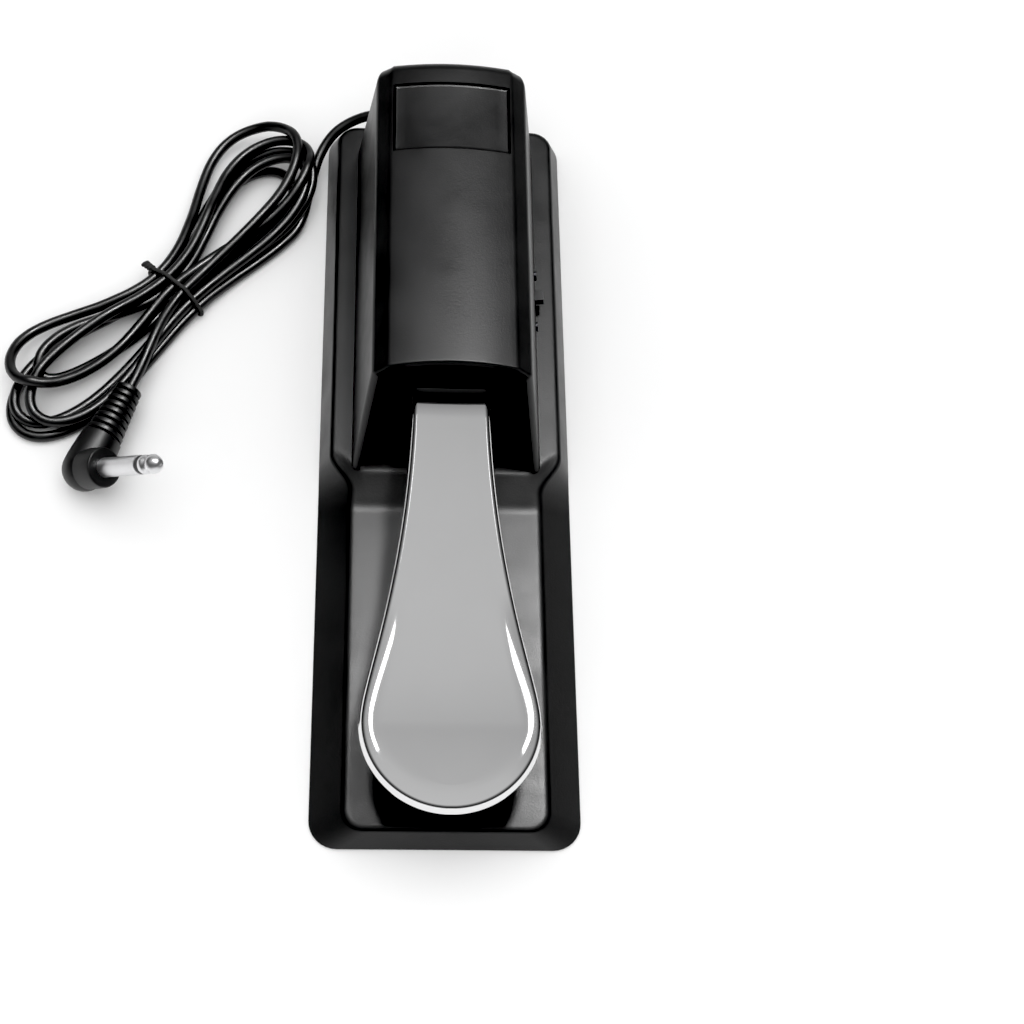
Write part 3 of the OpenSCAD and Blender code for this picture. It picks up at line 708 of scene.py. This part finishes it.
def outer_skin(ring):
    """Rings of the front edge, and of the rest back to the rear face."""
    def rounded(front, angle):
        def y_of(z, dz):
            from_face = corner_r(dz, front) * (1 - math.sin(angle))
            return face_y(z, front) + (from_face if front else -from_face)

        return ring(y_of, lambda dz: corner_r(dz, front) * (1 - math.cos(angle)))

    def level(y):
        return ring(lambda z, dz: y, lambda dz: 0.0, min(y - LABEL_Y[0], LABEL_Y[1] - y))

    label_ys = [LABEL_Y[0] + step for step in LABEL_STEPS] + [LABEL_MID_Y]
    label_ys += [LABEL_Y[1] - step for step in reversed(LABEL_STEPS)]
    edge = [rounded(True, a) for a in steps(math.pi / 2, 0, 6)]
    rest = [level(y) for y in WALL_YS + label_ys]
    return edge, rest + [rounded(False, a) for a in steps(0, math.pi / 2, 8)]


def inner_skin(ring):
    """Rings of the chamfered front lip, and of the rest back to the rear wall."""
    chamfer = 0.35
    lip = [ring(lambda z, dz: face_y(z, True), lambda dz: WALL - chamfer),
           ring(lambda z, dz: face_y(z, True) + chamfer, lambda dz: WALL)]
    rest = [ring(lambda z, dz, y=y: y, lambda dz: WALL) for y in WALL_YS + [LABEL_MID_Y]]
    return lip, rest + [ring(lambda z, dz: face_y(z, False) - WALL, lambda dz: WALL)]


def build_housing():
    """The hollow housing: an arch drawn from front to rear, open in front, with a label recess."""
    right = arch()
    section = [(-x, z, -dx, dz) for x, z, dx, dz in right] + list(reversed(right[:-1]))
    shell = Shell()

    def ring(y_of, inset_of, from_end=-1):
        """The section at y_of(z, dz), moved in by inset_of(dz); from_end is for the label recess."""
        out = []
        for x, z, dx, dz in section:
            inset = inset_of(dz)
            drop = label_drop(x, from_end) if z > CROWN_EDGE_Z else 0.0
            out.append((x - dx * inset, y_of(z, dz), z - dz * inset - drop))
        return shell.ring(out)

    # The polarity switch looks out through the right wall: the same cell of both skins is left out
    cell = len(section) - 1 - WALL_ZS.index(WINDOW_Z[1])
    skins = []
    window = []
    for front, rest in (outer_skin(ring), inner_skin(ring)):
        row = len(front) + WALL_YS.index(WINDOW_Y[0])
        skin = front + rest
        shell.grid(skin, lambda r, c, row=row: (r, c) == (row, cell))
        shell.cap(skin[-1])
        skins.append(skin)
        window.append([skin[row][cell], skin[row][cell + 1], skin[row + 1][cell + 1], skin[row + 1][cell]])
    shell.band(*window)
    outer, inner = skins
    shell.band(outer[0], inner[0], closed=False)
    # Foot of the walls and of the rear face
    for end in (0, -1):
        shell.cap([r[end] for r in outer] + [r[end] for r in reversed(inner)])
    shell.cap([outer[-1][0], outer[-1][-1], inner[-1][-1], inner[-1][0]])
    piece = make_piece("housing_shell", shell, SHELL, "base_unit", sharp=32)
    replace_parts(piece, "housing")


# ---- lever ----

def lever_half_w(y):
    """Half width of the lever: a narrow neck that widens into the round playing end."""
    if y > NECK_END_Y:
        return NECK_HALF_W
    # The widening part is a curve, so the share of it that reaches y is found by halving
    low, high = 0.0, 1.0
    for _ in range(30):
        t = (low + high) / 2
        if bezier([NECK_END_Y, -62.0, -93.0, PAD_Y], t) > y:
            low = t
        else:
            high = t
    return bezier([NECK_HALF_W, NECK_HALF_W + 1.1, PAD_R, PAD_R], low)


def lever_top(y):
    """Height of the lever's top: level inside the housing, a fold, a slope and a level end."""
    slope = (LEVER_Z - PAD_Z) / (FOLD_Y - LEVEL_Y)
    return LEVER_Z - slope * (rounded_knee(FOLD_Y - y, FOLD_R) - rounded_knee(LEVEL_Y - y, LEVEL_R))


def lever_side():
    """Right side of the lever's outline, from tail to tip."""
    ys = [TAIL_Y, 60, 40, 20, 8] + steps(0, -14, 18) + steps(-17, PAD_Y, 36)
    side = [Vector((lever_half_w(y), y)) for y in ys]
    for degrees in range(3, 90, 3):
        a = math.radians(degrees)
        side.append(Vector((PAD_R * math.cos(a), PAD_Y - PAD_R * math.sin(a))))
    return side


def edge_fall(inset, y):
    """How far the playing end falls away towards its edge; the neck stays flat."""
    return 0.5 * smooth((-58 - y) / 18) * (max(SOFT_EDGE - inset, 0.0) / SOFT_EDGE) ** 2


def outward(loop):
    """Unit normals of a symmetrical outline, turned away from its middle line."""
    normals = []
    for i, p in enumerate(loop):
        ahead = (loop[(i + 1) % len(loop)] - loop[i - 1]).normalized()
        normal = Vector((ahead.y, -ahead.x))
        on_middle = abs(p.x) < 1
        normals.append(normal if on_middle or normal.x * p.x >= 0 else -normal)
    return normals


def build_lever():
    """The polished lever: flat, with a rolled edge and a rim that flares a little on its open part."""
    right = lever_side()
    loop = right + [Vector((-p.x, p.y)) for p in reversed(right)]
    normals = outward(loop)
    shell = Shell()

    def ring(inset, drop_of):
        return shell.ring([(p.x - n.x * inset, p.y - n.y * inset, lever_top(p.y) - drop_of(p.y))
                           for p, n in zip(loop, normals)])

    def open_part(y):
        return smooth((-14 - y) / 16)

    def rim_depth(y):
        return LEVER_T + RIM_DEPTH * open_part(y)

    rings = [ring(inset, lambda y, e=inset: edge_fall(e, y))
             for inset in (SOFT_EDGE, 6.0, 5.0, 4.2, 3.5, 2.9, 2.4, ROLL_IN + 0.08, ROLL_IN)]
    roll_end = 75
    for degrees in (12, 24, 36, 48, 60, roll_end):
        a = math.radians(degrees)
        inset = mix(ROLL_IN, FLARE, math.sin(a) / math.sin(math.radians(roll_end)))
        rings.append(ring(inset, lambda y, a=a: edge_fall(ROLL_IN, y) + ROLL_DEPTH * (1 - math.cos(a))))
    # Down the rim, round its lower edge, and up inside it to the sheet's underside
    for inset, rise in ((0.08, 0.5), (0.0, 0.3), (0.1, 0.1), (0.35, 0.0), (1.3, 0.0)):
        rings.append(ring(inset, lambda y, rise=rise: rim_depth(y) - rise))
    rings.append(ring(1.7, lambda y: rim_depth(y) - 0.3 * open_part(y)))
    rings.append(ring(2.4, lambda y: LEVER_T))
    for a, b in zip(rings, rings[1:]):
        shell.band(a, b)
    for flat in (rings[0], rings[-1]):
        shell.cap_in_rows(flat, 8)
    piece = make_piece("lever", shell, CHROME, "pedal_lever", sharp=50)
    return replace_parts(piece, "pedal")


# ---- cable ----

START_DEG = 55
LAST_DEG = 1884
SPACING = 1.5
FLOOR_Z = CABLE_R + 0.05
TIE_LIFT = 1.1
TIE_R = 0.7
# Each lobe of the bundle in the order it is laid, upper and lower in turn: how far it reaches from
# the tie, its half width, and how far it bows to the left
LOBES = ((70, 19, 3), (73, 16, 2), (70, 19, 4), (70, 14, 4), (63, 14, 5), (55, 9, 9),
         (66, 16, 2), (67, 14, -1), (72, 19, 6), (62, 17, 12), (73, 21, 14))
# Distance from the bundle's middle line each time the cable passes the tie
TIE_N = (9.75, 9.75, 5.85, 5.85, 1.95, 1.95, 7.8, 3.9, 0.1, 8.2, 3.9)


def in_bundle(s, n):
    """The place on the floor that is s along the bundle from the tie and n to its left."""
    return Vector((TIE_XY.x + s * math.cos(BUNDLE_ANGLE) - n * math.sin(BUNDLE_ANGLE),
                   TIE_XY.y + s * math.sin(BUNDLE_ANGLE) + n * math.cos(BUNDLE_ANGLE)))


def between(rows, at, blend):
    """The row that at falls on, turning smoothly into the next one over the middle blend of a step."""
    i = min(max(int(at), 0), len(rows) - 2)
    return mix(Vector(rows[i]), Vector(rows[i + 1]), smooth((at - i - 0.5) / blend + 0.5))


def strand(deg):
    """A point of the tied bundle as it is laid out, before it settles on the strands below.

    Each turn is a long loop through both lobes: wide in the lobes and drawn together at the tie.
    """
    a = math.radians(deg)
    reach, wide, bow = between(LOBES, deg / 180, 0.4)
    half = between([(n, 0) for n in TIE_N], max(deg / 180 - 0.5, 0.0), 1.0)[0]
    lobe = 1 - math.sin(a) ** 8
    along = reach * (1.06 * math.cos(a) - 0.06 * math.cos(3 * a))
    across = bow * lobe - mix(half, 0.35 * half + wide, lobe) * math.sin(a)
    at = in_bundle(along, across)
    return Vector((at.x, at.y, FLOOR_Z + TIE_LIFT * (1 - smooth(abs(along) / 25))))


def cable_path():
    """The whole cable: out of the housing, over the ledge, round the bundle and into the plug."""
    joined = strand(START_DEG)
    heading = (strand(START_DEG + 1) - joined).normalized()
    left = strand(LAST_DEG)
    leaving = (left - strand(LAST_DEG - 1)).normalized()
    boot_dir = Vector((-math.sin(PLUG_TURN), math.cos(PLUG_TURN), 0))
    boot_end = PLUG_AT + BOOT_LENGTH * boot_dir
    path = [OUTLET + Vector((0, y, 0)) for y in steps(-28, 3.2, 6)]
    over = [path[-1], OUTLET + Vector((0, 10.8, -0.2)), OUTLET + Vector((-11, 10, -5.5)),
            Vector((-41.5, 129, 15)), Vector((-50, 129, 2.9)), joined - 12 * heading, joined]
    path += [bezier(over, t) for t in steps(0, 1, 12)[:-1]]
    path += [strand(deg) for deg in range(START_DEG, LAST_DEG + 1, 8)]
    path += [bezier([left, left + 22 * leaving, boot_end + 22 * boot_dir, boot_end], t)
             for t in steps(0, 1, 8)[1:]]
    path += [boot_end - 8 * boot_dir, boot_end - 16 * boot_dir]
    return even_path(path, SPACING)


def settle(path):
    """Lifts the cable over every strand laid before it, with the stiffness to bridge small gaps."""
    drawn = [p.z for p in path]
    heights = list(drawn)
    pitch = 2 * CABLE_R
    clear = round(4 * pitch / SPACING)
    sag = 0.004
    tree = kdtree.KDTree(len(path))
    for i, p in enumerate(path):
        tree.insert((p.x, p.y, 0), i)
    tree.balance()
    below = [[(j, math.sqrt(max(pitch ** 2 - d ** 2, 0.0)))
              for _, j, d in tree.find_range((p.x, p.y, 0), pitch) if j < i - clear]
             for i, p in enumerate(path)]
    for _ in range(12):
        rest = [max([z] + [heights[j] + rise for j, rise in pairs]) for z, pairs in zip(drawn, below)]
        heights = [max(z, low) for z, low in zip(heights, rest)]
        for _ in range(14):
            for i in range(1, len(path) - 1):
                heights[i] = max(rest[i], (heights[i - 1] + heights[i + 1]) / 2 - sag)
    return [Vector((p.x, p.y, z)) for p, z in zip(path, heights)]


def build_cable(path):
    """The cable's jacket, along its settled path."""
    shell = Shell()
    tube(shell, path, CABLE_R, 16)
    piece = make_piece("cable_jacket", shell, CABLE, "base_unit", even_normals=False)
    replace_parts(piece, "cable")


def build_tie(path):
    """A twist tie: a band drawn tight round the settled strands, and its two ends twisted together."""
    middle = in_bundle(0, 0)
    along = (in_bundle(1, 0) - middle).normalized()
    across = (in_bundle(0, 1) - middle).normalized()
    strands = []
    for p in path:
        offset = p.xy - middle
        if abs(offset.dot(along)) < SPACING:
            strands.append(Vector((offset.dot(across), p.z)))
    loop = []
    for turn in steps(0, 2 * math.pi, 48)[:-1]:
        out = Vector((math.cos(turn), math.sin(turn)))
        outermost = max(strands, key=lambda strand_at: strand_at.dot(out))
        at = outermost + out * (CABLE_R + TIE_R)
        loop.append((middle + across * at.x).to_3d() + Vector((0, 0, max(at.y, TIE_R + 0.02))))
    shell = Shell()
    tube(shell, loop, TIE_R, 10, closed=True)
    # The ends are wound round each other on the band's upper left side, and part near their tips
    root = max(loop, key=lambda p: (p.xy - middle).dot(across) + 0.6 * p.z)
    end_length, end_turns, parting = 3.6, 1.5, 1.3
    for phase in (0, math.pi):
        wound = []
        for t in steps(0, 1, 30):
            a = phase + 2 * math.pi * end_turns * t
            r = TIE_R + parting * rounded_knee(t - 0.75, 0.15)
            wound.append(root + across.to_3d() * (end_length * t) + along.to_3d() * (r * math.cos(a))
                         + Vector((0, 0, r * math.sin(a))))
        tube(shell, wound, TIE_R, 8)
    piece = make_piece("twist_tie", shell, RUBBER, "base_unit", even_normals=False)
    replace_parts(piece, "cable_tie")


# ---- return spring ----

def build_spring():
    """The return spring: a fixed coil whose foot stands in its cup."""
    turns, coil_r, wire_r = 7, 5.2, 0.8
    spring_y = centre("spring_cup")[1]
    foot = Vector((0, spring_y, 16.4))
    top = Vector((0, spring_y, 44.8))
    path = []
    for t in steps(0, 1, turns * 24):
        a = 2 * math.pi * turns * t
        path.append(foot.lerp(top, t) + Vector((coil_r * math.cos(a), coil_r * math.sin(a), 0)))
    shell = Shell()
    tube(shell, path, wire_r, 10)
    piece = make_piece("return_coil", shell, SPRING, None, even_normals=False)
    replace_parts(piece, "return_spring")
    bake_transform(piece)


# ---- plug ----

def plug_matrix():
    """Plug frame: x along the bare metal, y towards the cable."""
    return (Matrix.Translation(PLUG_AT) @ Matrix.Rotation(PLUG_TURN, 4, "Z")
            @ Matrix.Rotation(-PLUG_LIFT, 4, "Y"))


ALONG_X = Matrix.Rotation(math.pi / 2, 4, "Y")
ALONG_Y = Matrix.Rotation(-math.pi / 2, 4, "X")


def boot_profile():
    """Half profile of the moulded body: a rounded end, a plain length and tapering ribs."""
    end_r = 7.4
    points = [(0.3, -end_r)]
    for degrees in range(10, 91, 10):
        a = math.radians(degrees)
        points.append((end_r * math.sin(a), -end_r * math.cos(a)))
    first_rib, ribs, rib_depth = 12.8, 8, 0.9
    points += [(end_r, 3.0), (7.1, 9.0), (6.8, 12.2), (6.2, first_rib)]
    for i in range(ribs):
        crest = mix(6.5, 4.4, (i + 0.5) / ribs)
        root = crest - rib_depth
        for edge, r in ((0.1, root), (0.2, crest - 0.15), (0.3, crest), (0.72, crest),
                        (0.82, crest - 0.15), (0.92, root)):
            points.append((r, mix(first_rib, BOOT_LENGTH, (i + edge) / ribs)))
    return points + [(2.9, BOOT_LENGTH), (2.4, BOOT_LENGTH + 0.3), (1.9, BOOT_LENGTH + 0.3)]


# Half profiles along the bare metal: (radius, distance from the plug's corner)
COLLAR = [(6.9, 0.5), (6.7, 7.0), (6.6, 10.2), (6.4, 10.8), (5.9, 11.1), (3.2, 11.2)]
BARREL = [(2.9, 3.0), (3.1, 8.8), (3.175, 9.0), (3.175, 30.2), (3.0, 30.45)]
TIP = [(2.5, 32.1), (3.0, 32.15), (3.1, 32.4), (3.1, 33.5), (2.95, 33.9), (2.3, 34.5), (2.2, 34.8),
       (2.35, 35.1), (2.95, 36.0), (3.1, 36.4), (3.1, 37.2), (2.8, 38.2), (1.8, 39.6), (1.2, 40.1),
       (0.6, 40.28), (0.15, 40.3)]


def turned_piece(name, profile, matrix, look, sides=64):
    """A piece of the plug, turned from its half profile."""
    shell = Shell()
    revolve(shell, profile, matrix, sides)
    return make_piece(name, shell, look, "base_unit", sharp=35)


def build_plug():
    """The right-angle plug: ribbed moulding, collar, barrel and tip."""
    along_cable = plug_matrix() @ ALONG_Y
    along_metal = plug_matrix() @ ALONG_X
    moulding = turned_piece("plug_moulding", boot_profile(), along_cable, PLUG_PLASTIC, 72)
    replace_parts(moulding, "plug_body")
    turned_piece("plug_collar", COLLAR, along_metal, PLUG_PLASTIC)
    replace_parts(turned_piece("plug_barrel", BARREL, along_metal, PLUG_METAL), "plug_sleeve")
    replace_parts(turned_piece("plug_point", TIP, along_metal, PLUG_METAL), "plug_tip")


# ---- studio ----

def build_floor():
    """A wide white floor."""
    half = 6.0
    mesh = bpy.data.meshes.new("floor")
    mesh.from_pydata([(-half, -half, 0), (half, -half, 0), (half, half, 0), (-half, half, 0)], [],
                     [(0, 1, 2, 3)])
    n = Nodes("floor_paper")
    patches = n.to_range(n.noise(3.0), 0.0, 1.0)
    n.set("Base Color", n.blend(patches, (0.93, 0.93, 0.93), (0.95, 0.95, 0.95)))
    n.set("Roughness", 0.85)
    n.set("Specular IOR Level", 0.2)
    mesh.materials.append(n.material)
    floor = bpy.data.objects.new("floor", mesh)
    bpy.context.scene.collection.objects.link(floor)


def sky_grey(tree, height):
    """The sky that glossy faces see: dark low down and bright overhead."""
    ramp = tree.add("ShaderNodeValToRGB")
    tree.link(height, ramp.inputs["Fac"])
    stops = ((0.0, 0.01), (0.5, 0.015), (0.78, 0.12), (0.87, 0.27), (0.94, 0.46), (0.966, 0.58),
             (1.0, 0.62))
    colours = ramp.color_ramp.elements
    while len(colours) < len(stops):
        colours.new(0.5)
    for element, (at, grey) in zip(colours, stops):
        element.position = at
        element.color = (grey, grey, grey, 1)
    return ramp.outputs["Color"]


def wall_grey(tree, rearward, height):
    """Grey walls low down, all round but for the two rear corners, for the other sides to reflect."""
    front = tree.calc("MULTIPLY", tree.to_range(rearward, 0, 1, 0.3, 0.05),
                      tree.to_range(height, 0, 1, 0.3, 0.2))
    rear = tree.calc("MULTIPLY", tree.to_range(rearward, 0, 1, 0.7, 0.85),
                     tree.to_range(height, 0, 1, 0.55, 0.4))
    brightness = 0.4
    return tree.calc("MULTIPLY", tree.calc("ADD", front, rear), brightness)


def build_world():
    """Glossy faces see a sky that is dark low down; everything else sees a plain pale one."""
    world = bpy.data.worlds.new("studio")
    bpy.context.scene.world = world
    world.use_nodes = True
    tree = Tree(world.node_tree)
    split = tree.add("ShaderNodeSeparateXYZ")
    tree.link(tree.add("ShaderNodeTexCoord").outputs["Generated"], split.inputs["Vector"])
    rearward, height = split.outputs["Y"], split.outputs["Z"]
    reflected = tree.calc("ADD", sky_grey(tree, height), wall_grey(tree, rearward, height))
    seen = tree.add("ShaderNodeMix", data_type="FLOAT")
    tree.link(tree.add("ShaderNodeLightPath").outputs["Is Glossy Ray"], seen.inputs["Factor"])
    pale = 0.7
    seen.inputs["A"].default_value = pale
    tree.link(reflected, seen.inputs["B"])
    tree.link(seen.outputs["Result"], world.node_tree.nodes["Background"].inputs["Color"])


def area_light(name, at, target, size, power, in_reflections=True, on_matt=True):
    """A rectangular light aimed at a target, seen in reflections, on matt surfaces, or both."""
    data = bpy.data.lights.new(name, "AREA")
    data.shape = "RECTANGLE"
    data.size, data.size_y = size
    data.energy = power
    light = bpy.data.objects.new(name, data)
    light.location = at
    light.rotation_mode = "QUATERNION"
    light.rotation_quaternion = (Vector(target) - Vector(at)).to_track_quat("-Z", "Y")
    light.visible_glossy = in_reflections
    light.visible_diffuse = on_matt
    bpy.context.scene.collection.objects.link(light)
    return light


def light_only(light, pieces, wanted=True):
    """Keeps a light to some pieces, or keeps it off them when they are not wanted."""
    group = bpy.data.collections.new(light.name + "_pieces")
    for piece in pieces:
        group.objects.link(piece)
    if not wanted:
        for entry in group.collection_objects:
            entry.light_linking.link_state = "EXCLUDE"
    light.light_linking.receiver_collection = group


def build_lights(polished):
    """Two soft lights for the floor, bright cards for the shine on plastic, strips for the lever."""
    area_light("overhead", (0.0, 0.1, 2.2), (0, 0, 0), (2.4, 2.4), 26, in_reflections=False)
    area_light("front", (-0.2, -1.4, 1.1), (0, 0, 0), (1.4, 0.5), 4, in_reflections=False)
    target = (0, -0.05, 0.02)
    for name, at, size, power in (("card_right", (0.27, 0.39, 1.4), (0.12, 0.26), 20),
                                  ("card_left", (-0.215, 0.39, 1.4), (0.10, 0.26), 7)):
        light_only(area_light(name, at, target, size, power, on_matt=False), polished, wanted=False)
    for name, at, size in (("strip_right", (0.355, 0.36, 1.4), (0.055, 0.21)),
                           ("strip_left", (-0.215, 0.36, 1.4), (0.045, 0.21))):
        light_only(area_light(name, at, target, size, 0.08, on_matt=False), polished)


def build_camera():
    """The main camera: above and in front of the pedal, and turned a little about its own axis."""
    data = bpy.data.cameras.new("camera")
    data.sensor_width = 36
    data.lens = 63.96
    data.shift_x = 0.0439
    data.shift_y = -0.0121
    data.clip_start = 0.01
    camera = bpy.data.objects.new("camera", data)
    at = Vector((-0.02647, -0.28299, 0.54384))
    target = Vector((0.00604, -0.02738, 0.02625))
    roll = math.radians(7.57)
    ahead = (target - at).normalized()
    level = ahead.cross(Vector((0, 0, 1))).normalized()
    above = level.cross(ahead)
    right = level * math.cos(roll) + above * math.sin(roll)
    up = above * math.cos(roll) - level * math.sin(roll)
    turn = Matrix((right, up, -ahead)).transposed().to_4x4()
    camera.matrix_world = Matrix.Translation(at) @ turn
    bpy.context.scene.collection.objects.link(camera)
    bpy.context.scene.camera = camera


def set_view():
    """Shows tones as they are, but for blacks that are a little deeper."""
    view = bpy.context.scene.view_settings
    view.view_transform = "Standard"
    view.use_curve_mapping = True
    view.curve_mapping.black_level = (0.012, 0.012, 0.012)
    view.curve_mapping.update()


dress_nodes()
build_base()
build_posts()
build_clamp_block()
build_housing()
lever = build_lever()
cable_line = settle(cable_path())
build_cable(cable_line)
build_tie(cable_line)
build_spring()
build_plug()
build_floor()
build_world()
build_lights([lever])
build_camera()
set_view()
